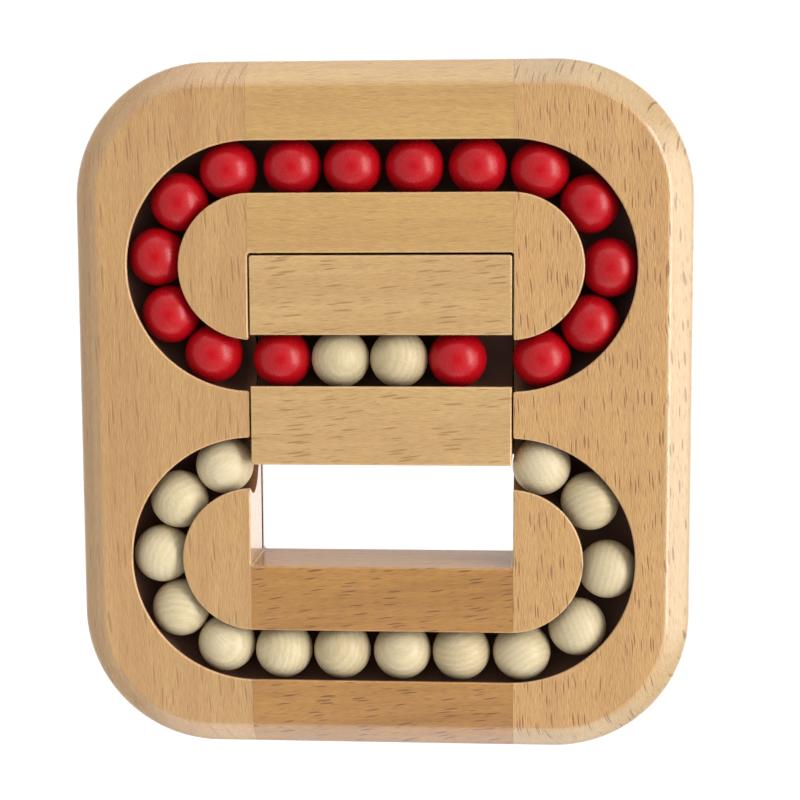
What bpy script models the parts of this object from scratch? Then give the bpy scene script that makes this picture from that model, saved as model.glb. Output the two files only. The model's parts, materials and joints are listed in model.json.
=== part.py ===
"""A two-loop ball shuttle puzzle: a wooden board, captive balls and a sliding centre block.

The board lies on its back. X runs across it, Y along it towards the upper loop, and Z out of
its face. The origin is the middle of the back face. All sizes are in metres.
"""

import math

import bmesh
import bpy

# The board
BOARD_WIDTH = 0.1265
BOARD_LENGTH = 0.142
BOARD_THICKNESS = 0.0195
CORNER_RADIUS = 0.028
RIM_WIDTH = 0.0057
RIM_PROFILE = 0.35
GLUE_GAP = 0.0003

# The well that the shuttle slides in. Its sides are also the glue lines between the boards.
WELL_HALF_WIDTH = 0.027
WELL_HALF_LENGTH = 0.03225

# The two loops: a straight run on each side of two half-circle turns
TURN_CENTRE_X = 0.0264
UPPER_LOOP_Y = 0.0295
LOWER_LOOP_Y = -0.0309
TURN_RADIUS = 0.02015
SLOT_WIDTH = 0.0105
GROOVE_RADIUS = 0.007
GROOVE_CENTRE_DEPTH = 0.0053

# The balls
BALL_RADIUS = 0.006
BALL_CENTRE_DEPTH = 0.006

# The shuttle
SHUTTLE_WIDTH = 0.0534
SHUTTLE_LENGTH = 0.0429
SHUTTLE_TOP_GAP = 0.00045
FIRST_SHUTTLE_BALL_X = -0.0208
SHUTTLE_BALL_PITCH = 0.0121

# The tongues on the shuttle's ends, and the grooves that they run in
TONGUE_LENGTH = 0.0025
TONGUE_THICKNESS = 0.0016
TONGUE_HEIGHT = 0.003
TONGUE_INSET = 0.0003
TONGUE_PLAY = 0.0002
TONGUE_GROOVE_DEPTH = 0.0026

# The hidden dowels across the glue lines
DOWEL_RADIUS = 0.003
OUTER_DOWEL_Y = 0.0635
OUTER_DOWEL_IN_BLOCK = 0.015
OUTER_DOWEL_IN_RAIL = 0.015
INNER_DOWEL_Y = 0.0375
INNER_DOWEL_IN_BLOCK = 0.005
INNER_DOWEL_IN_RAIL = 0.011
HOLE_GAP = 0.00015
HOLE_END_GAP = 0.0005

# Places of the loose balls, along a loop's centre line from its right-hand gate. They follow
# each other closely, but for some wider gaps, given by the number of the ball before the gap.
LOOP_BALLS = 14
FIRST_LOOP_BALL = 0.0065
LOOP_BALL_PITCH = 0.01233
UPPER_GAPS = {3: 0.0015, 5: 0.0004, 6: 0.0005, 7: 0.0004, 9: 0.0009}
LOWER_GAPS = {1: 0.0002, 2: 0.0027, 3: 0.0016, 4: 0.0006, 5: 0.0003, 7: 0.0003}

# Derived places
SLOT_HALF_WIDTH = SLOT_WIDTH / 2
GROOVE_CENTRE_Z = BOARD_THICKNESS - GROOVE_CENTRE_DEPTH
BALL_CENTRE_Z = BOARD_THICKNESS - BALL_CENTRE_DEPTH
SHUTTLE_Y = WELL_HALF_LENGTH - SHUTTLE_TOP_GAP - SHUTTLE_LENGTH / 2
GLUE_LINE_INSET = GLUE_GAP / 2
BEYOND = 0.01

# Fineness of the curved faces
CORNER_SEGMENTS = 10
RIM_SEGMENTS = 4
TURN_STEPS = 16
GROOVE_SIDES = 16
ROD_SIDES = 16
BALL_SEGMENTS = 12
BALL_RINGS = 8


def clear_scene():
    for old in list(bpy.data.objects):
        bpy.data.objects.remove(old, do_unlink=True)


def new_collection(name):
    collection = bpy.data.collections.new(name)
    bpy.context.scene.collection.children.link(collection)
    return collection


def wood(name, colour, roughness):
    material = bpy.data.materials.new(name)
    material.use_nodes = True
    shader = material.node_tree.nodes["Principled BSDF"]
    shader.inputs["Base Color"].default_value = (*colour, 1.0)
    shader.inputs["Roughness"].default_value = roughness
    shader.inputs["Metallic"].default_value = 0.0
    material.diffuse_color = (*colour, 1.0)
    return material


clear_scene()
puzzle = new_collection("ball_shuttle_puzzle")
cutters = new_collection("cutters")

END_GRAIN_BLOCK = wood("beech_end_block", (0.60, 0.36, 0.18), 0.42)
PALE_RAIL = wood("beech_top_rail", (0.61, 0.42, 0.18), 0.42)
BROWN_RAIL = wood("beech_bottom_rail", (0.54, 0.30, 0.12), 0.42)
SHUTTLE_WOOD = wood("beech_shuttle", (0.65, 0.45, 0.20), 0.42)
RED_LACQUER = wood("red_lacquered_ball", (0.58, 0.01, 0.02), 0.35)
CREAM_LACQUER = wood("natural_ball", (0.73, 0.62, 0.42), 0.45)
PLAIN_DOWEL = wood("birch_dowel", (0.70, 0.52, 0.30), 0.6)


def add_piece(name, mesh, material, location=(0, 0, 0), parent=None):
    """One piece of the puzzle, placed in its parent's space where it has one."""
    piece = bpy.data.objects.new(name, mesh)
    if material.name not in mesh.materials:
        mesh.materials.append(material)
    piece.location = location
    piece.parent = parent
    puzzle.objects.link(piece)
    return piece


def add_cutter(name, mesh):
    cutter = bpy.data.objects.new(name, mesh)
    cutter.hide_render = True
    cutter.display_type = "WIRE"
    cutters.objects.link(cutter)
    return cutter


def cut(piece, cutter, operation="DIFFERENCE"):
    boolean = piece.modifiers.new(cutter.name, "BOOLEAN")
    boolean.object = cutter
    boolean.operation = operation
    boolean.solver = "EXACT"


def mesh_from(name, bm):
    mesh = bpy.data.meshes.new(name)
    bm.to_mesh(mesh)
    bm.free()
    return mesh


def box_mesh(name, low, high):
    """A box between two opposite corners."""
    bm = bmesh.new()
    bmesh.ops.create_cube(bm, size=1.0)
    bmesh.ops.scale(bm, vec=[b - a for a, b in zip(low, high)], verts=bm.verts)
    bmesh.ops.translate(bm, vec=[(a + b) / 2 for a, b in zip(low, high)], verts=bm.verts)
    return mesh_from(name, bm)


def rod_mesh(name, radius, start_x, end_x, y, z):
    """A round rod along X."""
    low_x, high_x = sorted((start_x, end_x))
    bm = bmesh.new()
    bmesh.ops.create_cone(
        bm, cap_ends=True, segments=ROD_SIDES, radius1=radius, radius2=radius, depth=1.0
    )
    for vert in bm.verts:
        along = low_x + (vert.co.z + 0.5) * (high_x - low_x)
        vert.co = (along, y + vert.co.x, z + vert.co.y)
    return mesh_from(name, bm)


def loop_outline(radius):
    """Points round a loop: two half circles of this radius, joined by the straight runs."""
    points = []
    for side, start in ((1, -math.pi / 2), (-1, math.pi / 2)):
        for step in range(TURN_STEPS + 1):
            angle = start + math.pi * step / TURN_STEPS
            x = side * TURN_CENTRE_X + radius * math.cos(angle)
            points.append((x, radius * math.sin(angle)))
    return points


def add_spline(curve, outline):
    spline = curve.splines.new("POLY")
    spline.points.add(len(outline) - 1)
    for point, (x, y) in zip(spline.points, outline):
        point.co = (x, y, 0, 1)
    spline.use_cyclic_u = True


def cutter_from_curve(name, curve, location):
    """A closed mesh cutter made from a curve, which is then removed."""
    guide = bpy.data.objects.new(name + "_curve", curve)
    cutters.objects.link(guide)
    guide.location = location
    bpy.context.view_layer.update()
    graph = bpy.context.evaluated_depsgraph_get()
    mesh = bpy.data.meshes.new_from_object(guide.evaluated_get(graph))
    bm = bmesh.new()
    bm.from_mesh(mesh)
    bmesh.ops.remove_doubles(bm, verts=bm.verts, dist=1e-6)
    bmesh.ops.recalc_face_normals(bm, faces=bm.faces)
    bm.to_mesh(mesh)
    bm.free()
    cutter = add_cutter(name, mesh)
    cutter.matrix_world = guide.matrix_world.copy()
    bpy.data.objects.remove(guide)
    return cutter


def loop_cutters(name, loop_y):
    """The round groove that the balls run in, and the narrower slot that opens it to the face."""
    groove = bpy.data.curves.new(name + "_groove", "CURVE")
    groove.dimensions = "3D"
    groove.bevel_depth = GROOVE_RADIUS
    groove.bevel_resolution = (GROOVE_SIDES - 4) // 2
    add_spline(groove, loop_outline(TURN_RADIUS))
    slot_height = GROOVE_CENTRE_DEPTH + BEYOND
    slot = bpy.data.curves.new(name + "_slot", "CURVE")
    slot.dimensions = "2D"
    slot.fill_mode = "BOTH"
    slot.extrude = slot_height / 2
    add_spline(slot, loop_outline(TURN_RADIUS + SLOT_HALF_WIDTH))
    add_spline(slot, loop_outline(TURN_RADIUS - SLOT_HALF_WIDTH))
    return (
        cutter_from_curve(name + "_groove", groove, (0, loop_y, GROOVE_CENTRE_Z)),
        cutter_from_curve(name + "_slot", slot, (0, loop_y, GROOVE_CENTRE_Z + slot_height / 2)),
    )


def board_blank():
    """The whole board before it is divided: a rounded rectangle with rounded rims."""
    bm = bmesh.new()
    bmesh.ops.create_cube(bm, size=1.0)
    bmesh.ops.scale(bm, vec=(BOARD_WIDTH, BOARD_LENGTH, BOARD_THICKNESS), verts=bm.verts)
    bmesh.ops.translate(bm, vec=(0, 0, BOARD_THICKNESS / 2), verts=bm.verts)
    upright = [e for e in bm.edges if abs(e.verts[0].co.z - e.verts[1].co.z) > 1e-6]
    bmesh.ops.bevel(
        bm, geom=upright, offset=CORNER_RADIUS, segments=CORNER_SEGMENTS, profile=0.5, affect="EDGES"
    )
    rims = [e for e in bm.edges if abs(e.verts[0].co.z - e.verts[1].co.z) < 1e-6]
    bmesh.ops.bevel(
        bm, geom=rims, offset=RIM_WIDTH, segments=RIM_SEGMENTS, profile=RIM_PROFILE, affect="EDGES"
    )
    return mesh_from("board_blank", bm)


def add_board(name, material, low, high):
    """One of the glued boards: what the blank holds between these limits of X and Y."""
    board = add_piece(name, board_blank(), material)
    region = box_mesh(
        name + "_region", (*low, -BEYOND), (*high, BOARD_THICKNESS + BEYOND)
    )
    cut(board, add_cutter(name + "_region", region), "INTERSECT")
    return board


def build_boards():
    upper_loop = loop_cutters("upper_loop", UPPER_LOOP_Y)
    lower_loop = loop_cutters("lower_loop", LOWER_LOOP_Y)
    far_x = BOARD_WIDTH / 2 + BEYOND
    far_y = BOARD_LENGTH / 2 + BEYOND
    block_x = WELL_HALF_WIDTH + GLUE_LINE_INSET
    rail_x = WELL_HALF_WIDTH - GLUE_LINE_INSET
    left = add_board("left_end_block", END_GRAIN_BLOCK, (-far_x, -far_y), (-block_x, far_y))
    right = add_board("right_end_block", END_GRAIN_BLOCK, (block_x, -far_y), (far_x, far_y))
    top = add_board("top_rail", PALE_RAIL, (-rail_x, WELL_HALF_LENGTH), (rail_x, far_y))
    bottom = add_board("bottom_rail", BROWN_RAIL, (-rail_x, -far_y), (rail_x, -WELL_HALF_LENGTH))
    for board, loops in (
        (left, upper_loop + lower_loop),
        (right, upper_loop + lower_loop),
        (top, upper_loop),
        (bottom, lower_loop),
    ):
        for cutter in loops:
            cut(board, cutter)
    return left, right, top, bottom


def build_dowels(left, right, top, bottom):
    """Dowels across the four glue lines, each in a hole that is a little longer."""
    middle_z = BOARD_THICKNESS / 2
    for side_name, side, block in (("left", -1, left), ("right", 1, right)):
        for end_name, end, rail in (("top", 1, top), ("bottom", -1, bottom)):
            for row, y, in_block, in_rail in (
                ("outer", OUTER_DOWEL_Y, OUTER_DOWEL_IN_BLOCK, OUTER_DOWEL_IN_RAIL),
                ("inner", INNER_DOWEL_Y, INNER_DOWEL_IN_BLOCK, INNER_DOWEL_IN_RAIL),
            ):
                name = f"dowel_{end_name}_{side_name}_{row}"
                inner_x = side * (WELL_HALF_WIDTH - in_rail)
                outer_x = side * (WELL_HALF_WIDTH + in_block)
                rod = rod_mesh(name, DOWEL_RADIUS, inner_x, outer_x, end * y, middle_z)
                add_piece(name, rod, PLAIN_DOWEL)
                hole = rod_mesh(
                    name + "_hole",
                    DOWEL_RADIUS + HOLE_GAP,
                    inner_x - side * HOLE_END_GAP,
                    outer_x + side * HOLE_END_GAP,
                    end * y,
                    middle_z,
                )
                hole_cutter = add_cutter(name + "_hole", hole)
                cut(block, hole_cutter)
                cut(rail, hole_cutter)


def cut_tongue_grooves(left, right):
    """Stopped grooves in the sides of the well. Their ends stop the shuttle's tongues just before
    the shuttle meets the top or the bottom of the well."""
    half_x = WELL_HALF_WIDTH + TONGUE_GROOVE_DEPTH
    half_y = WELL_HALF_LENGTH - SHUTTLE_TOP_GAP - TONGUE_INSET + TONGUE_PLAY
    half_z = TONGUE_THICKNESS / 2 + TONGUE_PLAY
    grooves = box_mesh(
        "tongue_grooves",
        (-half_x, -half_y, TONGUE_HEIGHT - half_z),
        (half_x, half_y, TONGUE_HEIGHT + half_z),
    )
    groove_cutter = add_cutter("tongue_grooves", grooves)
    cut(left, groove_cutter)
    cut(right, groove_cutter)


def build_shuttle():
    """The sliding block. Its channel carries balls from loop to loop, and the tongue along each
    end runs in the side of the well and keeps the block in the board."""
    half = (SHUTTLE_WIDTH / 2, SHUTTLE_LENGTH / 2)
    block = box_mesh("shuttle", (-half[0], -half[1], 0), (*half, BOARD_THICKNESS))
    shuttle = add_piece("shuttle", block, SHUTTLE_WOOD, location=(0, SHUTTLE_Y, 0))
    past_end = half[0] + BEYOND
    channel = rod_mesh(
        "shuttle_channel", GROOVE_RADIUS, -past_end, past_end, SHUTTLE_Y, GROOVE_CENTRE_Z
    )
    slot = box_mesh(
        "shuttle_slot",
        (-past_end, SHUTTLE_Y - SLOT_HALF_WIDTH, GROOVE_CENTRE_Z),
        (past_end, SHUTTLE_Y + SLOT_HALF_WIDTH, BOARD_THICKNESS + BEYOND),
    )
    tongues = box_mesh(
        "shuttle_tongues",
        (
            -half[0] - TONGUE_LENGTH,
            SHUTTLE_Y - half[1] + TONGUE_INSET,
            TONGUE_HEIGHT - TONGUE_THICKNESS / 2,
        ),
        (
            half[0] + TONGUE_LENGTH,
            SHUTTLE_Y + half[1] - TONGUE_INSET,
            TONGUE_HEIGHT + TONGUE_THICKNESS / 2,
        ),
    )
    cut(shuttle, add_cutter("shuttle_tongues", tongues), "UNION")
    cut(shuttle, add_cutter("shuttle_channel", channel))
    cut(shuttle, add_cutter("shuttle_slot", slot))
    return shuttle


def ball_mesh(name, material):
    bm = bmesh.new()
    bmesh.ops.create_uvsphere(
        bm, u_segments=BALL_SEGMENTS, v_segments=BALL_RINGS, radius=BALL_RADIUS
    )
    mesh = mesh_from(name, bm)
    mesh.materials.append(material)
    mesh.shade_smooth()
    return mesh


def add_turn(name, side, loop_y):
    """The axis that the balls in one half-circle turn go round."""
    turn = bpy.data.objects.new(name, None)
    turn.location = (side * TURN_CENTRE_X, loop_y, BALL_CENTRE_Z)
    puzzle.objects.link(turn)
    return turn


def loop_stations(gaps):
    """How far along the track each ball of a loop lies."""
    station = FIRST_LOOP_BALL
    for number in range(1, LOOP_BALLS + 1):
        yield number, station
        station += LOOP_BALL_PITCH + gaps.get(number, 0)


def build_loop_balls(name, mesh, material, gaps, loop_y, outward):
    """The balls of one loop. outward is 1 where the loop's outer run is at +Y, and -1 at -Y."""
    right_turn = add_turn(f"{name}_right_turn", 1, loop_y)
    left_turn = add_turn(f"{name}_left_turn", -1, loop_y)
    turn_length = math.pi * TURN_RADIUS
    run_length = 2 * TURN_CENTRE_X
    for number, station in loop_stations(gaps):
        if station < turn_length:
            angle = station / TURN_RADIUS
            parent, x = right_turn, TURN_RADIUS * math.sin(angle)
            y = -TURN_RADIUS * math.cos(angle)
        elif station < turn_length + run_length:
            parent, x = None, TURN_CENTRE_X - (station - turn_length)
            y = TURN_RADIUS
        else:
            angle = (station - turn_length - run_length) / TURN_RADIUS
            parent, x = left_turn, -TURN_RADIUS * math.sin(angle)
            y = TURN_RADIUS * math.cos(angle)
        place = (x, outward * y, 0) if parent else (x, loop_y + outward * y, BALL_CENTRE_Z)
        add_piece(f"{name}_ball_{number:02d}", mesh, material, place, parent)


def build_shuttle_balls(shuttle, red, cream):
    """Four balls in the shuttle's channel, from left to right."""
    for number, (mesh, material) in enumerate(
        ((red, RED_LACQUER), (cream, CREAM_LACQUER), (cream, CREAM_LACQUER), (red, RED_LACQUER)), 1
    ):
        x = FIRST_SHUTTLE_BALL_X + (number - 1) * SHUTTLE_BALL_PITCH
        place = (x, 0, BALL_CENTRE_Z)
        add_piece(f"shuttle_ball_{number}", mesh, material, place, shuttle)


boards = build_boards()
build_dowels(*boards)
cut_tongue_grooves(*boards[:2])
shuttle = build_shuttle()
red_ball = ball_mesh("red_ball", RED_LACQUER)
cream_ball = ball_mesh("cream_ball", CREAM_LACQUER)
build_loop_balls("upper", red_ball, RED_LACQUER, UPPER_GAPS, UPPER_LOOP_Y, 1)
build_loop_balls("lower", cream_ball, CREAM_LACQUER, LOWER_GAPS, LOWER_LOOP_Y, -1)
build_shuttle_balls(shuttle, red_ball, cream_ball)
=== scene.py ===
"""A wooden ball shuttle puzzle: the finished look of its boards, shuttle, balls and dowels."""

import json
import math
import random

import bmesh
import bpy
import numpy as np
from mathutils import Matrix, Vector


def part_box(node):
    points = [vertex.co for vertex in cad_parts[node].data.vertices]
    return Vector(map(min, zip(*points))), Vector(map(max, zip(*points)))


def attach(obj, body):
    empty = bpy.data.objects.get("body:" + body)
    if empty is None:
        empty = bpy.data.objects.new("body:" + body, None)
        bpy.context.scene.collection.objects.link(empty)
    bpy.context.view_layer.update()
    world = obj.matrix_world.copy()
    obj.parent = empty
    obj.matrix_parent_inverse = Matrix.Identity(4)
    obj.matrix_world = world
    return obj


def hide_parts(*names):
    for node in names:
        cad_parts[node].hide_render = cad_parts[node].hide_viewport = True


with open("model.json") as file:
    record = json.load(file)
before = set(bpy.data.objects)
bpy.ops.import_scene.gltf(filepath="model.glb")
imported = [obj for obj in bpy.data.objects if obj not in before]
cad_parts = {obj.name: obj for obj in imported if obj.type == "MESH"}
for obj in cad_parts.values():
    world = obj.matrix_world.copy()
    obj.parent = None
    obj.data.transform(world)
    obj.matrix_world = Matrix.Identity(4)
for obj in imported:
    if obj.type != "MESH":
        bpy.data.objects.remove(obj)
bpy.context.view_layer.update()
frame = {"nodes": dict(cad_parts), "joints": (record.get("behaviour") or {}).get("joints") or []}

bpy.ops.object.select_all(action="DESELECT")


# ---------------------------------------------------------------------------
# Camera. The puzzle lies on its back and is seen nearly from straight above,
# from a little to the right of its middle and towards its upper loop.
# ---------------------------------------------------------------------------
SENSOR_WIDTH = 36.0
LENS = 81.8
CAMERA_PLACE = (0.03068, 0.04405, 0.38576)
CAMERA_TURN = (-0.11293, 0.07275, -0.00483)

camera_data = bpy.data.cameras.new("camera")
camera_data.sensor_width = SENSOR_WIDTH
camera_data.lens = LENS
camera = bpy.data.objects.new("camera", camera_data)
camera.rotation_mode = "ZXY"
camera.location = CAMERA_PLACE
camera.rotation_euler = CAMERA_TURN
bpy.context.scene.collection.objects.link(camera)
bpy.context.scene.camera = camera


# ---------------------------------------------------------------------------
# The machined slab. Four beech boards are glued edge to edge and then worked
# as one: corners and rims rounded, the well cut right through, and the two
# ball tracks routed with a round-headed cutter that undercuts their slots.
# ---------------------------------------------------------------------------
CORNER_RADIUS = 0.028
CORNER_STEPS = 28
RIM_WIDTH = 0.0057
RIM_PROFILE = 0.35
RIM_STEPS = 12
WELL_CORNER_RADIUS = 0.0006
GATE_CORNER_RADIUS = 0.0006
WELL_CORNER_STEPS = 5
GROOVE_RADIUS = 0.007
GROOVE_CENTRE_DEPTH = 0.0053
SLOT_WIDTH = 0.0105
TURN_SIDES = 96
GROOVE_SIDES = 40
ARRIS_WIDTH = 0.0004
ARRIS_STEPS = 3
# Painted shade: the tracks, holes and grooves are plain beech, and their dark brown stands in for the
# shadow inside them. Near the well this painted shade fades to MOUTH_BROWN, the wood where light
# reaches in.
PAINTED_SHADE_BROWN = (0.135, 0.062, 0.040)
MOUTH_BROWN = (0.40, 0.20, 0.10)
MOUTH_DEPTH = 0.0024
TRACK_ROUGHNESS = 0.6
SHARP_CORNER = math.radians(60)
WALL_SLOPE = 0.02
FLAT_SLOPE = 0.999
PAST = 0.01
TOUCHING = 1e-6

slab_low = Vector(map(min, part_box("left_end_block")[0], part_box("bottom_rail")[0]))
slab_high = Vector(map(max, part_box("right_end_block")[1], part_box("top_rail")[1]))
face_z = slab_high.z
glue_x = (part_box("right_end_block")[0].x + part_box("top_rail")[1].x) / 2
well_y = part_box("top_rail")[0].y
joints = {joint["name"]: joint for joint in frame["joints"]}
upper_turn = Vector(joints["upper_ball_01_roll"]["pos_m"])
lower_turn = Vector(joints["lower_ball_01_roll"]["pos_m"])


def box_middle(node):
    low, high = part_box(node)
    return (low + high) / 2


turn_radius = (box_middle("upper_ball_01") - upper_turn).length


def start_piece(name, finish=None):
    """Names the primitive that was just added and puts its place into its mesh."""
    bpy.ops.object.transform_apply(location=True, rotation=True, scale=True)
    piece = bpy.context.object
    piece.name = piece.data.name = name
    if finish:
        piece.data.materials.append(finish)
    return piece


def add_box(name, low, high, finish=None):
    """A box between two opposite corners."""
    low, high = Vector(low), Vector(high)
    bpy.ops.mesh.primitive_cube_add(size=1, location=(low + high) / 2, scale=high - low)
    return start_piece(name, finish)


def add_rod(name, low, high, radius, finish=None):
    """A round rod along X, in the middle of a box."""
    middle = (low + high) / 2
    bpy.ops.mesh.primitive_cylinder_add(
        vertices=GROOVE_SIDES, radius=radius, depth=high.x - low.x,
        location=middle, rotation=(0, math.pi / 2, 0),
    )
    return start_piece(name, finish)


def work_on(piece):
    """Makes a piece the only one selected and the one that the operators work on."""
    bpy.ops.object.select_all(action="DESELECT")
    piece.select_set(True)
    bpy.context.view_layer.objects.active = piece


def pick(piece, kind, wanted):
    """Goes into edit mode with just the verts, edges or faces selected that the rule wants."""
    work_on(piece)
    bpy.ops.object.mode_set(mode="EDIT")
    bpy.ops.mesh.select_mode(type={"verts": "VERT", "edges": "EDGE", "faces": "FACE"}[kind])
    bpy.ops.mesh.select_all(action="DESELECT")
    mesh = bmesh.from_edit_mesh(piece.data)
    for element in getattr(mesh, kind):
        if wanted(element):
            element.select_set(True)
    mesh.select_flush_mode()
    bmesh.update_edit_mesh(piece.data)


def leave_edit():
    bpy.ops.object.mode_set(mode="OBJECT")


def is_upright(edge):
    start, end = (vert.co for vert in edge.verts)
    return (start - end).xy.length < TOUCHING


def round_over(piece, wanted, width, steps, profile=0.5, finish=-1):
    """Rounds the edges that the rule wants. A profile under 0.5 is flatter than a round one."""
    pick(piece, "edges", wanted)
    bpy.ops.mesh.bevel(
        offset=width, segments=steps, profile=profile, affect="EDGES",
        material=finish, loop_slide=False,
    )
    leave_edit()


def machine(piece, tool, operation="DIFFERENCE"):
    """Cuts a piece with a tool's shape. The cut faces take the tool's finish."""
    work_on(piece)
    cut = piece.modifiers.new("cut", "BOOLEAN")
    cut.object = tool
    cut.operation = operation
    cut.solver = "EXACT"
    cut.material_mode = "TRANSFER"
    bpy.ops.object.modifier_apply(modifier=cut.name)
    bpy.data.objects.remove(tool)


def stretch_to_track(ring, middle_y):
    """Pulls a round ring apart into a track: two half circles joined by straight runs."""
    for side in (1, -1):
        pick(ring, "faces", lambda face: side * face.calc_center_median().x > 0)
        if side == 1:
            bpy.ops.mesh.split()
        bpy.ops.transform.translate(value=(side * upper_turn.x, 0, 0))
        leave_edit()
    for side in (1, -1):
        pick(
            ring, "edges",
            lambda edge: edge.is_boundary and side * (edge.verts[0].co.y - middle_y) > 0,
        )
        bpy.ops.mesh.bridge_edge_loops()
        leave_edit()
    pick(ring, "faces", lambda face: True)
    bpy.ops.mesh.remove_doubles(threshold=TOUCHING)
    bpy.ops.mesh.normals_make_consistent(inside=False)
    leave_edit()


def groove_tool(middle_y):
    """The space that the cutter's round head sweeps."""
    bpy.ops.mesh.primitive_torus_add(
        location=(0, middle_y, face_z - GROOVE_CENTRE_DEPTH),
        major_radius=turn_radius, minor_radius=GROOVE_RADIUS,
        major_segments=TURN_SIDES, minor_segments=GROOVE_SIDES,
    )
    ring = start_piece("groove_tool", track_painted_shade)
    stretch_to_track(ring, middle_y)
    return ring


def slot_tool(middle_y):
    """The square-sided space that the cutter's shank sweeps over the groove."""
    outer = turn_radius + SLOT_WIDTH / 2
    inner = turn_radius - SLOT_WIDTH / 2
    bpy.ops.mesh.primitive_circle_add(
        vertices=TURN_SIDES, radius=outer, location=(0, middle_y, face_z - GROOVE_CENTRE_DEPTH)
    )
    ring = start_piece("slot_tool", track_painted_shade)
    bpy.ops.object.mode_set(mode="EDIT")
    bpy.ops.mesh.select_all(action="SELECT")
    bpy.ops.mesh.extrude_edges_move()
    bpy.ops.transform.resize(value=(inner / outer, inner / outer, 1))
    bpy.ops.mesh.select_all(action="SELECT")
    bpy.ops.mesh.extrude_region_move(
        TRANSFORM_OT_translate={"value": (0, 0, GROOVE_CENTRE_DEPTH + PAST)}
    )
    leave_edit()
    stretch_to_track(ring, middle_y)
    return ring


def is_gate_edge(edge):
    """An upright corner between the well's side and a slot's wall."""
    return (
        is_upright(edge) and abs(abs(edge.verts[0].co.x) - glue_x) < TOUCHING
        and edge.calc_face_angle(0) > SHARP_CORNER
        and max(vert.co.z for vert in edge.verts) > face_z - TOUCHING
    )


def is_wall_edge(edge):
    """An edge between an upright wall and a flat side."""
    slopes = sorted(abs(face.normal.z) for face in edge.link_faces)
    return len(slopes) == 2 and slopes[0] < WALL_SLOPE and slopes[1] > FLAT_SLOPE


def is_top_edge(edge):
    return is_wall_edge(edge) and min(vert.co.z for vert in edge.verts) > face_z - TOUCHING


def is_back_edge(edge):
    return is_wall_edge(edge) and max(vert.co.z for vert in edge.verts) < slab_low.z + TOUCHING


def plain_finish(name, colour, roughness):
    """A material with one Principled BSDF, ready for its grain."""
    material = bpy.data.materials.new(name)
    material.use_nodes = True
    shader = material.node_tree.nodes["Principled BSDF"]
    shader.inputs["Base Color"].default_value = (*colour, 1)
    shader.inputs["Roughness"].default_value = roughness
    return material


face_to_come = bpy.data.materials.new("face_to_come")
arris_to_come = bpy.data.materials.new("arris_to_come")
wall_to_come = bpy.data.materials.new("wall_to_come")
# Painted shade for the inside of the tracks, holes and grooves, and the same painted shade fading out
# at the track mouths.
painted_shade_wood = plain_finish("dark_track", PAINTED_SHADE_BROWN, TRACK_ROUGHNESS)
track_painted_shade = plain_finish("track_with_paler_mouths", PAINTED_SHADE_BROWN, TRACK_ROUGHNESS)

slab = add_box("slab", slab_low, slab_high, face_to_come)
slab.data.materials.append(arris_to_come)
round_over(slab, is_upright, CORNER_RADIUS, CORNER_STEPS)
round_over(slab, lambda edge: not is_upright(edge), RIM_WIDTH, RIM_STEPS, RIM_PROFILE)
well = add_box(
    "well_tool", (-glue_x, -well_y, slab_low.z - PAST), (glue_x, well_y, face_z + PAST),
    wall_to_come,
)
round_over(well, is_upright, WELL_CORNER_RADIUS, WELL_CORNER_STEPS)
machine(slab, well)
for turn in (upper_turn, lower_turn):
    machine(slab, groove_tool(turn.y))
    machine(slab, slot_tool(turn.y))
round_over(slab, is_gate_edge, GATE_CORNER_RADIUS, WELL_CORNER_STEPS)
arris_index = slab.data.materials.find("arris_to_come")
round_over(slab, is_top_edge, ARRIS_WIDTH, ARRIS_STEPS, finish=arris_index)
round_over(slab, is_back_edge, ARRIS_WIDTH, ARRIS_STEPS, finish=arris_index)


# ---------------------------------------------------------------------------
# Beech. Long pale and dark streaks run with the grain, and the rays, thin
# leaning sheets, show as short dark flecks wherever a face cuts through them.
# Fine pores break up the shine of the satin lacquer.
# ---------------------------------------------------------------------------
RAY_LEAN = math.radians(24)
FLECK_SLANT = math.radians(3)
FLECK_SHARPNESS = 12.0
FAINT_SHARE = 0.35
WANDER_REACH = (3.0, 0.0, 3.0)
PORE_SPREAD = (0.3, 0.7)
PORE_SHADE = (0.86, 1.10)
LACQUER_ROUGHNESS = (0.48, 0.34)
LACQUER_SHINE = 0.5
LACQUER_COAT = 0.8
LACQUER_COAT_ROUGHNESS = 0.16
BARE_ROUGHNESS = 0.3
GRAIN_HEIGHT = 0.00025
GRAIN_STRENGTH = 0.5
MILLIMETRES = (1000, 1000, 1000)

# How often each part of the pattern repeats in a millimetre: across, along and through the grain.
WANDER_PACE = (0.09, 0.03, 0.05)
BOLD_FLECK_PACE = (1.45, 0.12, 1.0)
FAINT_FLECK_PACE = (2.2, 0.26, 1.0)
BAND_PACE = (0.14, 0.012, 0.08)
LINE_PACE = (0.9, 0.03, 0.6)
PORE_PACE = (6.0, 0.45, 4.0)
SANDING_PACE = (2.2, 0.8, 2.2)


def add_node(tree, kind, inputs=None, **settings):
    """A shader node. Its inputs take plain values, or the outputs of other nodes."""
    node = tree.nodes.new("ShaderNode" + kind)
    for name, value in settings.items():
        setattr(node, name, value)
    for name, value in (inputs or {}).items():
        if isinstance(value, bpy.types.NodeSocket):
            tree.links.new(value, node.inputs[name])
        else:
            node.inputs[name].default_value = value
    return node


def new_effect(name, inputs, outputs):
    """An empty node group with named inputs and outputs."""
    group = bpy.data.node_groups.new(name, "ShaderNodeTree")
    for label, kind in inputs:
        group.interface.new_socket(label, in_out="INPUT", socket_type="NodeSocket" + kind)
    for label, kind in outputs:
        group.interface.new_socket(label, in_out="OUTPUT", socket_type="NodeSocket" + kind)
    return group, group.nodes.new("NodeGroupInput").outputs, group.nodes.new("NodeGroupOutput").inputs


def stretched(tree, vector, scale):
    node = add_node(tree, "VectorMath", {0: vector, 1: scale}, operation="MULTIPLY")
    return node.outputs["Vector"]


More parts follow.
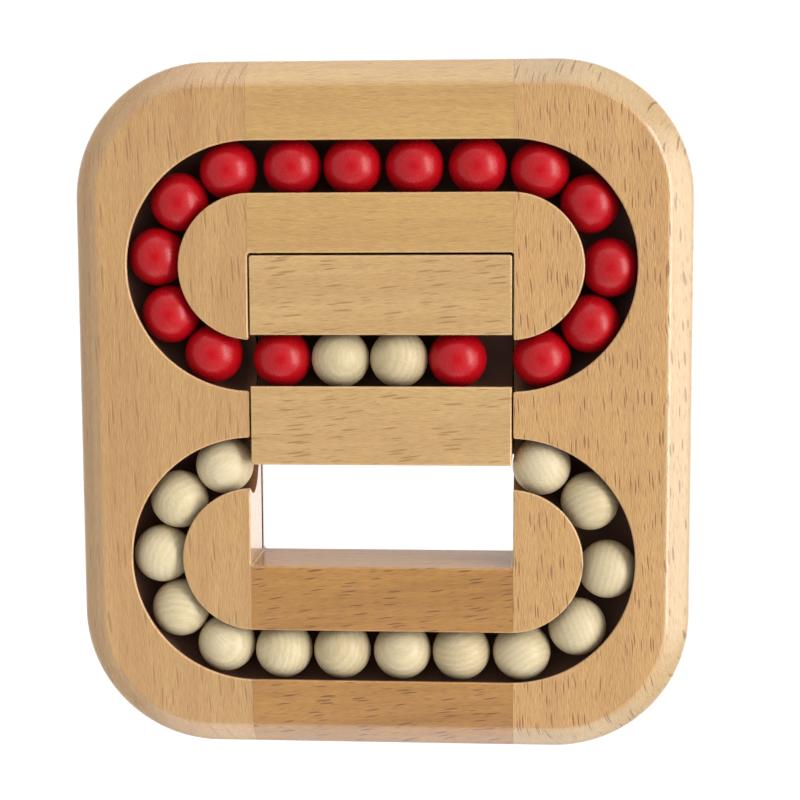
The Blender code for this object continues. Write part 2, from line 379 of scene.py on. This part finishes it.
def noise(tree, vector, detail=2.0):
    node = add_node(tree, "TexNoise", {"Vector": vector, "Scale": 1.0, "Detail": detail})
    return node.outputs["Fac"]


def ramp(tree, value, low, high, to_low=0.0, to_high=1.0):
    """Maps values from low to high onto a new range, and holds them at its ends."""
    node = add_node(tree, "MapRange", {
        "Value": value, "From Min": low, "From Max": high, "To Min": to_low, "To Max": to_high,
    })
    return node.outputs["Result"]


def work_out(tree, first, second, operation="ADD", clamp=False):
    """Adds two values, or does another sum with them."""
    node = add_node(tree, "Math", {0: first, 1: second}, operation=operation, use_clamp=clamp)
    return node.outputs["Value"]


def blend_colours(tree, share, first, second, kind="MIX"):
    node = add_node(tree, "Mix", {0: share, 6: first, 7: second}, data_type="RGBA", blend_type=kind)
    return node.outputs[2]


def ray_flecks(tree, vector, least, most):
    """Short spindles scattered one to a cell, each of its own size."""
    cells = add_node(tree, "TexVoronoi", {"Vector": vector, "Scale": 1.0}, voronoi_dimensions="2D")
    reach = ramp(tree, cells.outputs["Color"], 0.3, 0.7, least, most)
    inside = work_out(tree, reach, cells.outputs["Distance"], "SUBTRACT")
    return work_out(tree, inside, FLECK_SHARPNESS, "MULTIPLY", clamp=True)


def build_beech_effect():
    """Takes a vector in millimetres whose Y runs with the grain. The rays lean from its Z."""
    tree, given, result = new_effect(
        "beech_grain",
        [("Vector", "Vector"), ("Wood", "Color"), ("Streak", "Color"), ("Fleck", "Color"),
         ("Streaks", "Float"), ("Flecks", "Float"), ("Fleck Scale", "Float")],
        [("Color", "Color"), ("Roughness", "Float"), ("Height", "Float")],
    )
    wander = add_node(tree, "TexNoise", {
        "Vector": stretched(tree, given["Vector"], WANDER_PACE), "Scale": 1.0, "Detail": 1.0,
    })
    centred = add_node(
        tree, "VectorMath", {0: wander.outputs["Color"], 1: (0.5, 0.5, 0.5)}, operation="SUBTRACT"
    )
    shift = stretched(tree, centred.outputs["Vector"], WANDER_REACH)
    leaning = add_node(
        tree, "VectorRotate", {"Vector": given["Vector"], "Angle": RAY_LEAN}, rotation_type="Y_AXIS"
    )
    grain = add_node(tree, "VectorMath", {0: leaning.outputs["Vector"], 1: shift}, operation="ADD")
    grain = grain.outputs["Vector"]

    slanted = add_node(
        tree, "VectorRotate", {"Vector": grain, "Angle": -FLECK_SLANT}, rotation_type="Z_AXIS"
    )
    sized = add_node(tree, "VectorMath", {
        0: slanted.outputs["Vector"], "Scale": given["Fleck Scale"],
    }, operation="SCALE").outputs["Vector"]
    bold = ray_flecks(tree, stretched(tree, sized, BOLD_FLECK_PACE), 0.03, 0.23)
    faint = ray_flecks(tree, stretched(tree, sized, FAINT_FLECK_PACE), 0.03, 0.26)
    fleck = work_out(tree, bold, work_out(tree, faint, FAINT_SHARE, "MULTIPLY"), "MAXIMUM")

    bands = ramp(tree, noise(tree, stretched(tree, grain, BAND_PACE)), 0.38, 0.62)
    lines = ramp(tree, noise(tree, stretched(tree, grain, LINE_PACE), 4.0), 0.36, 0.64)
    pores = noise(tree, stretched(tree, grain, PORE_PACE), 3.0)

    streaks = work_out(tree, work_out(tree, bands, lines), 0.5, "MULTIPLY")
    colour = blend_colours(
        tree, work_out(tree, streaks, given["Streaks"], "MULTIPLY"), given["Wood"], given["Streak"]
    )
    colour = blend_colours(
        tree, work_out(tree, fleck, given["Flecks"], "MULTIPLY"), colour, given["Fleck"]
    )
    shade = ramp(tree, pores, *PORE_SPREAD, *PORE_SHADE)
    tree.links.new(blend_colours(tree, 1.0, colour, shade, "MULTIPLY"), result["Color"])
    tree.links.new(ramp(tree, pores, *PORE_SPREAD, *LACQUER_ROUGHNESS), result["Roughness"])
    sanding = noise(tree, stretched(tree, grain, SANDING_PACE))
    sunk = work_out(tree, fleck, -0.5, "MULTIPLY")
    tree.links.new(work_out(tree, sunk, work_out(tree, pores, sanding)), result["Height"])
    return tree


beech_effect = build_beech_effect()


def beech(name, wood, streak, fleck, streaks, flecks, turn, shift, fleck_scale=1.0,
          painted_rim_sheen=(0.98, 1.0, 1.06), sanding=1.0, lacquer=1.0):
    """Beech. turn is the angle that brings the grain onto the pattern's Y, and the rim tint is a
    painted sheen: how far the wood's colour turns paler and bluer on a slope. sanding over 1 is
    the paler wood of a sanded edge together with a painted highlight along it, and lacquer is 0
    where the brush has not been. The rays show on all but the steepest faces."""
    material = plain_finish(name, wood, 0.4)
    tree = material.node_tree
    shader = tree.nodes["Principled BSDF"]
    place = add_node(tree, "TexCoord")
    grain = add_node(tree, "Mapping", {
        "Vector": place.outputs["Object"], "Scale": MILLIMETRES,
        "Rotation": (0, 0, math.radians(turn)), "Location": shift,
    })
    group = add_node(tree, "Group", node_tree=beech_effect)
    tree.links.new(grain.outputs["Vector"], group.inputs["Vector"])
    for label, colour in (("Wood", wood), ("Streak", streak), ("Fleck", fleck)):
        group.inputs[label].default_value = (*(min(1.0, sanding * tint) for tint in colour), 1)
    group.inputs["Streaks"].default_value = streaks
    group.inputs["Fleck Scale"].default_value = fleck_scale
    bump = add_node(tree, "Bump", {
        "Height": group.outputs["Height"], "Strength": GRAIN_STRENGTH, "Distance": GRAIN_HEIGHT,
    })
    facing = add_node(tree, "SeparateXYZ", {
        "Vector": add_node(tree, "NewGeometry").outputs["True Normal"],
    })
    level = work_out(tree, facing.outputs["Z"], 0.0, "ABSOLUTE")
    tree.links.new(ramp(tree, level, 0.15, 0.5, 0.0, flecks), group.inputs["Flecks"])
    # Painted sheen: slopes turn paler and bluer, as lacquered wood looks where it catches the light.
    slope = ramp(tree, level, 0.97, 0.80)
    tint = blend_colours(tree, slope, (1, 1, 1, 1), (*painted_rim_sheen, 1))
    colour = blend_colours(tree, 1.0, group.outputs["Color"], tint, "MULTIPLY")
    tree.links.new(colour, shader.inputs["Base Color"])
    bare = BARE_ROUGHNESS * (1.0 - lacquer)
    roughness = work_out(tree, group.outputs["Roughness"], bare, clamp=True)
    tree.links.new(roughness, shader.inputs["Roughness"])
    tree.links.new(bump.outputs["Normal"], shader.inputs["Normal"])
    shader.inputs["Specular IOR Level"].default_value = LACQUER_SHINE * lacquer
    shader.inputs["Coat Weight"].default_value = LACQUER_COAT * lacquer
    shader.inputs["Coat Roughness"].default_value = LACQUER_COAT_ROUGHNESS
    return material


def fade_painted_shade_at_mouths(material):
    """Lets the painted shade of a track fade to paler wood where it opens into the well and light
    reaches in.
    """
    tree = material.node_tree
    place = add_node(tree, "TexCoord").outputs["Object"]
    size = add_node(tree, "VectorMath", {0: place}, operation="ABSOLUTE").outputs["Vector"]
    across = add_node(tree, "SeparateXYZ", {"Vector": size}).outputs
    near_side = ramp(tree, across["X"], glue_x, glue_x + MOUTH_DEPTH, 1.0, 0.0)
    near_gate = ramp(tree, across["Y"], well_y / 2, well_y, 1.0, 0.0)
    share = work_out(tree, near_side, near_gate, "MULTIPLY")
    colour = blend_colours(tree, share, (*PAINTED_SHADE_BROWN, 1), (*MOUTH_BROWN, 1))
    tree.links.new(colour, tree.nodes["Principled BSDF"].inputs["Base Color"])


fade_painted_shade_at_mouths(track_painted_shade)


# ---------------------------------------------------------------------------
# The four boards. Each is its share of the machined slab, with its dowel holes
# drilled. The two end blocks run with their grain along the puzzle, and have a
# slim stopped groove for the shuttle's tongue. The two rails run across it.
# ---------------------------------------------------------------------------
GLUE_FILM = 0.00003
DOWEL_HOLE_GAP = 0.0001
SMOOTH_ANGLE = math.radians(35)
# The edges' paler wood is partly sanded wood and partly a painted highlight, the light that their
# rounded arrises catch.
ARRIS_SANDING_AND_HIGHLIGHT = 1.12
WELL_LACQUER = 0.4
TONGUE_GROOVE_LOW = 0.002
TONGUE_GROOVE_HIGH = 0.004
TONGUE_GROOVE_DEPTH = 0.0026
TONGUE_GROOVE_SHORT = 0.00055


def drill(piece, node):
    """A round hole for a dowel, a little longer and wider than it."""
    low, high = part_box(node)
    slack = Vector((DOWEL_HOLE_GAP * 4, 0, 0))
    radius = (high.z - low.z) / 2 + DOWEL_HOLE_GAP
    # The hole's walls take the painted shade.
    machine(piece, add_rod("drill", low - slack, high + slack, radius, painted_shade_wood))


def cut_tongue_groove(piece):
    """The groove for the shuttle's tongue, which stops just short of the well's ends."""
    reach = Vector((glue_x + TONGUE_GROOVE_DEPTH, well_y - TONGUE_GROOVE_SHORT, 0))
    low, high = (0, 0, TONGUE_GROOVE_LOW), (0, 0, TONGUE_GROOVE_HIGH)
    # The groove's walls take the painted shade.
    machine(piece, add_box("tongue_groove", Vector(low) - reach, Vector(high) + reach, painted_shade_wood))


def finish_shading(piece):
    """Merges stray points, and smooths the rounded edges without touching the flat faces."""
    pick(piece, "faces", lambda face: True)
    bpy.ops.mesh.remove_doubles(threshold=TOUCHING)
    leave_edit()
    bpy.ops.object.shade_smooth_by_angle(angle=SMOOTH_ANGLE)
    even = piece.modifiers.new("even", "WEIGHTED_NORMAL")
    even.keep_sharp = True
    bpy.ops.object.modifier_apply(modifier=even.name)


def set_wood(piece, name, look, wall_lacquer):
    """Puts the piece's own wood where the slab had only marks for it."""
    finishes = {
        face_to_come: beech(name + "_face", **look),
        arris_to_come: beech(name + "_edge", **look, sanding=ARRIS_SANDING_AND_HIGHLIGHT),
        wall_to_come: beech(name + "_wall", **look, lacquer=wall_lacquer),
    }
    for place in piece.material_slots:
        place.material = finishes.get(place.material, place.material)


def split_off(name, low, high, holes, look):
    """One of the boards: what the slab holds between these limits of X and Y."""
    work_on(slab)
    bpy.ops.object.duplicate()
    board = bpy.context.object
    board.name = board.data.name = name + "_board"
    region = add_box(
        "region", (*low, slab_low.z - PAST), (*high, face_z + PAST), face_to_come
    )
    machine(board, region, "INTERSECT")
    for node in holes:
        drill(board, node)
    if name.endswith("block"):
        cut_tongue_groove(board)
    finish_shading(board)
    set_wood(board, name, look, WELL_LACQUER)
    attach(board, "board")
    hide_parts(name)


far = slab_high + Vector((PAST, PAST, 0))
block_edge = glue_x + GLUE_FILM / 2
rail_edge = glue_x - GLUE_FILM / 2
boards = {
    "left_end_block": {
        "limits": ((-far.x, -far.y), (-block_edge, far.y)), "slot": "end_block_beech",
        "wood": (0.485, 0.288, 0.112), "streak": (0.42, 0.226, 0.088), "fleck": (0.33, 0.165, 0.058),
        "streaks": 0.9, "flecks": 0.65, "turn": 0, "shift": (13, 40, 6), "fleck_scale": 0.6,
    },
    "right_end_block": {
        "limits": ((block_edge, -far.y), (far.x, far.y)), "slot": "end_block_beech",
        "wood": (0.515, 0.295, 0.109), "streak": (0.44, 0.236, 0.088), "fleck": (0.25, 0.105, 0.028),
        "streaks": 0.8, "flecks": 0.9, "turn": 0, "shift": (71, 3, 31),
        # This block's rims get the strongest painted sheen, on the side of the key light.
        "painted_rim_sheen": (0.86, 1.00, 1.20),
    },
    "top_rail": {
        "limits": ((-rail_edge, 0), (rail_edge, far.y)), "slot": "pale_rail_beech",
        "wood": (0.505, 0.308, 0.106), "streak": (0.43, 0.245, 0.086), "fleck": (0.34, 0.17, 0.054),
        "streaks": 0.8, "flecks": 0.35, "turn": 90, "shift": (5, 17, 44),
    },
    "bottom_rail": {
        "limits": ((-rail_edge, -far.y), (rail_edge, 0)), "slot": "brown_rail_beech",
        "wood": (0.405, 0.198, 0.050), "streak": (0.28, 0.121, 0.027), "fleck": (0.17, 0.062, 0.015),
        "streaks": 0.8, "flecks": 0.9, "turn": 86, "shift": (29, 53, 12),
    },
}
for name, look in boards.items():
    low, high = look.pop("limits")
    slot = look.pop("slot")
    words = set(name.split("_")) & {"left", "right", "top", "bottom"}
    holes = sorted(
        node for node in frame["nodes"]
        if node.startswith("dowel") and words & set(node.split("_"))
    )
    split_off(name, low, high, holes, look)
bpy.data.objects.remove(slab)


# ---------------------------------------------------------------------------
# The shuttle. One beech block with the grain across, a piece of the ball
# track routed along it from end to end, and a slim tongue along each end that
# runs in the side of the well. Its edges are lightly sanded.
# ---------------------------------------------------------------------------
SHUTTLE_CORNER_RADIUS = 0.0005
TONGUE_LENGTH = 0.0025
TONGUE_LOW = 0.0022
TONGUE_HIGH = 0.0038
TONGUE_INSET = 0.0003

shuttle_low, shuttle_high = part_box("shuttle")
shuttle_y = (shuttle_low.y + shuttle_high.y) / 2
tongue_length = Vector((TONGUE_LENGTH, 0, 0))
shuttle = add_box(
    "shuttle_block", shuttle_low + tongue_length, shuttle_high - tongue_length, face_to_come
)
shuttle.data.materials.append(arris_to_come)
shuttle.data.materials.append(wall_to_come)
round_over(shuttle, is_upright, SHUTTLE_CORNER_RADIUS, ARRIS_STEPS)
pick(shuttle, "faces", lambda face: abs(face.normal.z) < WALL_SLOPE)
shuttle.active_material_index = shuttle.data.materials.find("wall_to_come")
bpy.ops.object.material_slot_assign()
leave_edit()
channel_low = Vector((-far.x, shuttle_y, face_z - GROOVE_CENTRE_DEPTH))
channel_high = Vector((far.x, shuttle_y, face_z - GROOVE_CENTRE_DEPTH))
# The channel and its slot take the painted shade.
machine(shuttle, add_rod("channel", channel_low, channel_high, GROOVE_RADIUS, painted_shade_wood))
half_slot = Vector((0, SLOT_WIDTH / 2, 0))
above = Vector((0, 0, GROOVE_CENTRE_DEPTH + PAST))
machine(shuttle, add_box(
    "channel_slot", channel_low - half_slot, channel_high + half_slot + above, painted_shade_wood
))
arris_index = shuttle.data.materials.find("arris_to_come")
round_over(shuttle, is_top_edge, ARRIS_WIDTH, ARRIS_STEPS, finish=arris_index)
round_over(shuttle, is_back_edge, ARRIS_WIDTH, ARRIS_STEPS, finish=arris_index)
tongues = add_box(
    "tongues", (shuttle_low.x, shuttle_low.y + TONGUE_INSET, TONGUE_LOW),
    (shuttle_high.x, shuttle_high.y - TONGUE_INSET, TONGUE_HIGH), wall_to_come,
)
machine(shuttle, tongues, "UNION")
finish_shading(shuttle)
shuttle_look = {
    "wood": (0.52, 0.332, 0.138), "streak": (0.44, 0.262, 0.100), "fleck": (0.31, 0.16, 0.052),
    "streaks": 0.8, "flecks": 0.8, "turn": 88, "shift": (61, 9, 27), "fleck_scale": 0.8,
}
set_wood(shuttle, "shuttle", shuttle_look, wall_lacquer=0.0)
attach(shuttle, "shuttle")
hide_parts("shuttle")


# ---------------------------------------------------------------------------
# The balls. Turned from pale close-grained wood, with a small flat left at
# each end of the grain. Half are lacquered red and half are left natural
# under clear lacquer. Each lies at its own angle, so no two look alike.
# ---------------------------------------------------------------------------
BALL_SEGMENTS = 48
BALL_RINGS = 24
BALL_FLAT_DEPTH = 0.00004
BALL_GRAIN = "ball_grain"
BALL_TONE_PACE = (0.04, 0.04, 0.04)
BALL_FIBRE_PACE = (2.6, 2.6, 0.5)
BALL_RING_SHARE = 0.5
BALL_COAT_ROUGHNESS = 0.3
BALL_SEED = 11

ball_radius = (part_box("upper_ball_01")[1].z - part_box("upper_ball_01")[0].z) / 2


def build_turned_effect():
    """Growth rings and pores of a turned ball. The vector is in millimetres, with Z along the grain."""
    tree, given, result = new_effect(
        "turned_grain", [("Vector", "Vector")],
        [("Rings", "Float"), ("Tone", "Float"), ("Height", "Float")],
    )
    rings = add_node(tree, "TexWave", {
        "Vector": given["Vector"], "Scale": 0.25, "Distortion": 2.0, "Detail": 2.0, "Detail Scale": 0.6,
    }, wave_type="BANDS", bands_direction="X")
    tree.links.new(rings.outputs["Fac"], result["Rings"])
    tree.links.new(ramp(
        tree, noise(tree, stretched(tree, given["Vector"], BALL_TONE_PACE), 1.0), 0.35, 0.65
    ), result["Tone"])
    fibres = noise(tree, stretched(tree, given["Vector"], BALL_FIBRE_PACE), 4.0)
    tree.links.new(fibres, result["Height"])
    return tree


turned_effect = build_turned_effect()


def ball_finish(name, colour, ring_colour, ring_share, roughness, bump_height, coat):
    """Lacquered turned wood whose grain turns with each ball. Only its coat shines."""
    material = plain_finish(name, colour, roughness)
    tree = material.node_tree
    shader = tree.nodes["Principled BSDF"]
    grain = add_node(tree, "Attribute", attribute_name=BALL_GRAIN)
    group = add_node(tree, "Group", node_tree=turned_effect)
    tree.links.new(grain.outputs["Vector"], group.inputs["Vector"])
    share = work_out(
        tree, work_out(tree, group.outputs["Rings"], BALL_RING_SHARE, "MULTIPLY"), group.outputs["Tone"]
    )
    share = work_out(tree, share, ring_share, "MULTIPLY")
    tone = blend_colours(tree, share, (*colour, 1), (*ring_colour, 1))
    fibre_shade = ramp(tree, group.outputs["Height"], 0.3, 0.7, 0.92, 1.06)
    tree.links.new(blend_colours(tree, 1.0, tone, fibre_shade, "MULTIPLY"), shader.inputs["Base Color"])
    bump = add_node(tree, "Bump", {
        "Height": group.outputs["Height"], "Strength": GRAIN_STRENGTH, "Distance": bump_height,
    })
    tree.links.new(bump.outputs["Normal"], shader.inputs["Normal"])
    shader.inputs["Specular IOR Level"].default_value = 0.0
    shader.inputs["Coat Weight"].default_value = coat
    shader.inputs["Coat Roughness"].default_value = BALL_COAT_ROUGHNESS
    return material


red_lacquer = ball_finish(
    "red_ball_lacquer", colour=(0.44, 0.0030, 0.0080), ring_colour=(0.37, 0.0018, 0.0058),
    ring_share=0.4, roughness=0.38, bump_height=0.0007, coat=0.6,
)
natural_wood = ball_finish(
    "natural_ball_wood", colour=(0.62, 0.525, 0.345), ring_colour=(0.46, 0.36, 0.20),
    ring_share=0.5, roughness=0.42, bump_height=0.00025, coat=0.35,
)

bpy.ops.mesh.primitive_uv_sphere_add(
    segments=BALL_SEGMENTS, ring_count=BALL_RINGS, radius=ball_radius
)
master_ball = start_piece("master_ball")
for end in (1, -1):
    pick(master_ball, "faces", lambda face: True)
    bpy.ops.mesh.bisect(
        plane_co=(0, 0, end * (ball_radius - BALL_FLAT_DEPTH)), plane_no=(0, 0, end),
        clear_outer=True, use_fill=True,
    )
    leave_edit()
work_on(master_ball)
bpy.ops.object.shade_smooth()
grain_places = np.empty(3 * len(master_ball.data.vertices))
master_ball.data.vertices.foreach_get("co", grain_places)
grain_places *= 1000
attribute = master_ball.data.attributes.new(BALL_GRAIN, "FLOAT_VECTOR", "POINT")
attribute.data.foreach_set("vector", grain_places)

chance = random.Random(BALL_SEED)
for name in sorted(node for node in frame["nodes"] if "ball" in node):
    work_on(master_ball)
    bpy.ops.object.duplicate()
    ball = bpy.context.object
    ball.name = ball.data.name = name.replace("ball", "wooden_ball")
    own_wood = np.array([chance.uniform(-500, 500) for _ in range(3)])
    shifted = grain_places.reshape(-1, 3) + own_wood
    ball.data.attributes[BALL_GRAIN].data.foreach_set("vector", shifted.ravel())
    ball.rotation_euler = [chance.uniform(0, 2 * math.pi) for _ in range(3)]
    ball.location = box_middle(name)
    bpy.ops.object.transform_apply(location=True, rotation=True, scale=True)
    is_red = name.startswith("upper") or name in ("shuttle_ball_1", "shuttle_ball_4")
    ball.data.materials.append(red_lacquer if is_red else natural_wood)
    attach(ball, name)
    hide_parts(name)
bpy.data.objects.remove(master_ball)


# ---------------------------------------------------------------------------
# Dowels. Plain birch rod, cut to length and glued in. Their shapes are the
# frame's own, and only get their wood here.
# ---------------------------------------------------------------------------
birch = beech(
    "birch_rod", wood=(0.66, 0.48, 0.28), streak=(0.58, 0.41, 0.23), fleck=(0.5, 0.34, 0.18),
    streaks=0.6, flecks=0.2, turn=90, shift=(3, 8, 19),
)
for name, node in frame["nodes"].items():
    if name.startswith("dowel"):
        node.data.materials.clear()
        node.data.materials.append(birch)


# ---------------------------------------------------------------------------
# Table and light. A glowing white table in a white room that is dark only straight
# overhead, with brighter right and end walls and one soft light on the right. In
# place of the table, shiny faces see a floor that is bright straight down.
# ---------------------------------------------------------------------------
TABLE_GAP = 0.0002
TABLE_SIZE = 4.0
TABLE_WHITE = (0.15, 0.15, 0.15)
TABLE_ROUGHNESS = 0.9
TABLE_GLOW = 1.0
HORIZON_GLOW = 1.08
ROOM_GLOW = 0.92
OVERHEAD_SHARE = 0.07
RIGHT_WALL_EXTRA = 0.06
RIGHT_WALL_GLOW = 2.6
END_WALL_GLOW = 1.3
FLOOR_SHARE = 0.35
STRAIGHT_DOWN_GLOW = 1.1
KEY_DISTANCE = 2.0
KEY_FROM_VERTICAL = math.radians(55)
KEY_TOWARDS_TOP = math.radians(9)
KEY_WIDTH = 0.55
KEY_LENGTH = 1.9
KEY_GLOW = 9.0

# Where each of them begins and ends, as the height or the side of a direction one metre long.
WALL_HEIGHTS = (0.2, 0.65)
OVERHEAD_HEIGHTS = (0.90, 0.975)
HORIZON_HEIGHTS = (-0.05, 0.05)
STRAIGHT_DOWN_HEIGHTS = (-0.9, -0.6)
RIGHT_WALL_SIDES = (0.80, 0.96)
END_WALL_SIDES = (0.75, 0.95)

bpy.ops.mesh.primitive_plane_add(size=TABLE_SIZE, location=(0, 0, slab_low.z - TABLE_GAP))
table = start_piece("table", plain_finish("white_table", TABLE_WHITE, TABLE_ROUGHNESS))
table_shader = table.data.materials[0].node_tree.nodes["Principled BSDF"]
table_shader.inputs["Emission Color"].default_value = (1, 1, 1, 1)
table_shader.inputs["Emission Strength"].default_value = TABLE_GLOW
table.visible_glossy = False

room = bpy.data.worlds.new("white_room")
room.use_nodes = True
tree = room.node_tree
direction = add_node(tree, "SeparateXYZ", {
    "Vector": add_node(tree, "TexCoord").outputs["Generated"],
})
height, side = direction.outputs["Z"], direction.outputs["X"]
height_glow = ramp(tree, height, *WALL_HEIGHTS, HORIZON_GLOW, ROOM_GLOW)
overhead = ramp(tree, height, *OVERHEAD_HEIGHTS, 1.0, OVERHEAD_SHARE)
height_glow = work_out(tree, height_glow, overhead, "MULTIPLY")
above = ramp(tree, height, *HORIZON_HEIGHTS, FLOOR_SHARE, 1.0)
straight_down = ramp(tree, height, *STRAIGHT_DOWN_HEIGHTS, STRAIGHT_DOWN_GLOW, 0.0)
height_glow = work_out(tree, work_out(tree, height_glow, above, "MULTIPLY"), straight_down)
side_share = work_out(tree, work_out(tree, side, RIGHT_WALL_EXTRA, "MULTIPLY"), 1.0)
room_glow = work_out(tree, height_glow, side_share, "MULTIPLY")
right_glow = ramp(tree, side, *RIGHT_WALL_SIDES, 0.0, RIGHT_WALL_GLOW)
either_end = work_out(tree, direction.outputs["Y"], 0.0, "ABSOLUTE")
end_glow = ramp(tree, either_end, *END_WALL_SIDES, 0.0, END_WALL_GLOW)
glow = work_out(tree, room_glow, work_out(tree, right_glow, end_glow))
tree.links.new(glow, tree.nodes["Background"].inputs["Strength"])
tree.nodes["Background"].inputs["Color"].default_value = (1, 1, 1, 1)
bpy.context.scene.world = room
bpy.context.scene.view_settings.view_transform = "Standard"

key_data = bpy.data.lights.new("key", "AREA")
key_data.shape = "RECTANGLE"
key_data.size = KEY_LENGTH
key_data.size_y = KEY_WIDTH
key_data.energy = KEY_GLOW * math.pi * KEY_WIDTH * KEY_LENGTH
key = bpy.data.objects.new("key", key_data)
key.location = KEY_DISTANCE * Vector((
    math.sin(KEY_FROM_VERTICAL) * math.cos(KEY_TOWARDS_TOP),
    math.sin(KEY_FROM_VERTICAL) * math.sin(KEY_TOWARDS_TOP),
    math.cos(KEY_FROM_VERTICAL),
))
key.rotation_euler = (-key.location).to_track_quat("-Z", "Y").to_euler()
key.visible_camera = False
bpy.context.scene.collection.objects.link(key)
